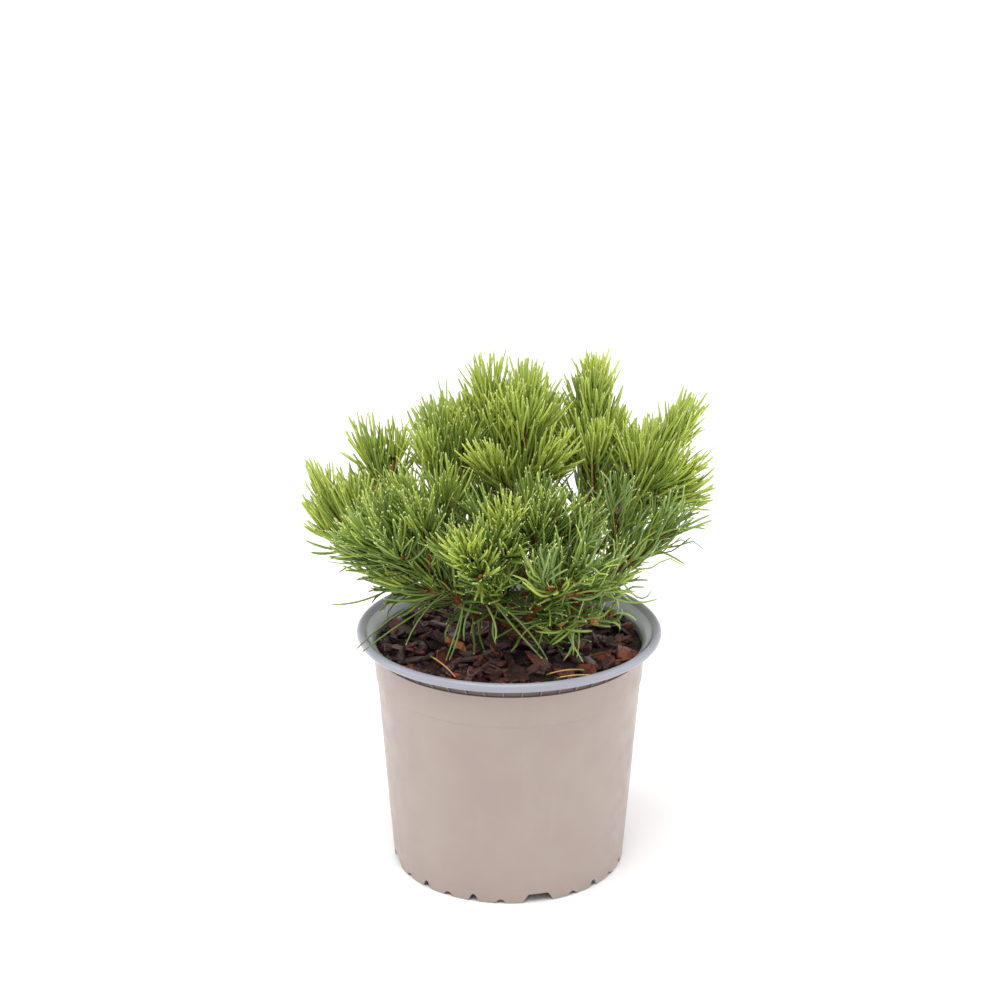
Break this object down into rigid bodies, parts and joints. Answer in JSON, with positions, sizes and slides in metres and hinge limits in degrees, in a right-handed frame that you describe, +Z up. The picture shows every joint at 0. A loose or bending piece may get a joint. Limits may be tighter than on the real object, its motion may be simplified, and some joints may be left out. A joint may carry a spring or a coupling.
{
  "type": "potted dwarf mountain pine",
  "caption": "Bushy dwarf mountain pine with upright shoots clad in paired needles, growing in a tapered round nursery pot topped with bark mulch.",
  "frame": {"origin": "centre of the circle the pot's foot stands on, at floor level", "axes": "+Z up along the pot's axis, the pictured side faces -Y, and +X is to the right in the picture"},
  "size_m": [0.2535, 0.2175, 0.3296],
  "materials": {
    "pot": "satin taupe plastic, blue-grey inside and on the lip",
    "growing_medium": "moist fibrous peat",
    "bark_mulch": "damp red-brown bark flakes",
    "bark": "scaly brown bark, orange-brown on young wood",
    "needles": "soft satin green, yellow-green on the new shoots"
  },
  "bodies": {
    "root": {"bark_mulch": "bark_mulch", "bough_back_left": "bark", "bough_back_low": "bark", "bough_back_low_left": "bark", "bough_back_low_right": "bark", "bough_back_middle": "bark", "bough_back_right": "bark", "bough_far_left": "bark", "bough_far_right": "bark", "bough_front_left": "bark", "bough_front_left_upper": "bark", "bough_front_low": "bark", "bough_front_low_right": "bark", "bough_front_middle": "bark", "bough_front_right": "bark", "bough_left_of_middle": "bark", "bough_low_right": "bark", "bough_lowest_right": "bark", "bough_upper_far_left": "bark", "bough_upper_left": "bark", "bough_upper_middle": "bark", "bough_upper_right": "bark", "foliage_back_left": "needles", "foliage_back_low": "needles", "foliage_back_low_left": "needles", "foliage_back_low_right": "needles", "foliage_back_middle": "needles", "foliage_back_right": "needles", "foliage_far_left": "needles", "foliage_far_right": "needles", "foliage_front_left": "needles", "foliage_front_left_upper": "needles", "foliage_front_low": "needles", "foliage_front_low_right": "needles", "foliage_front_middle": "needles", "foliage_front_right": "needles", "foliage_left_of_middle": "needles", "foliage_low_right": "needles", "foliage_lowest_right": "needles", "foliage_upper_far_left": "needles", "foliage_upper_left": "needles", "foliage_upper_middle": "needles", "foliage_upper_right": "needles", "growing_medium": "growing_medium", "pot": "pot", "trunk": "bark"}
  },
  "joints": []
}
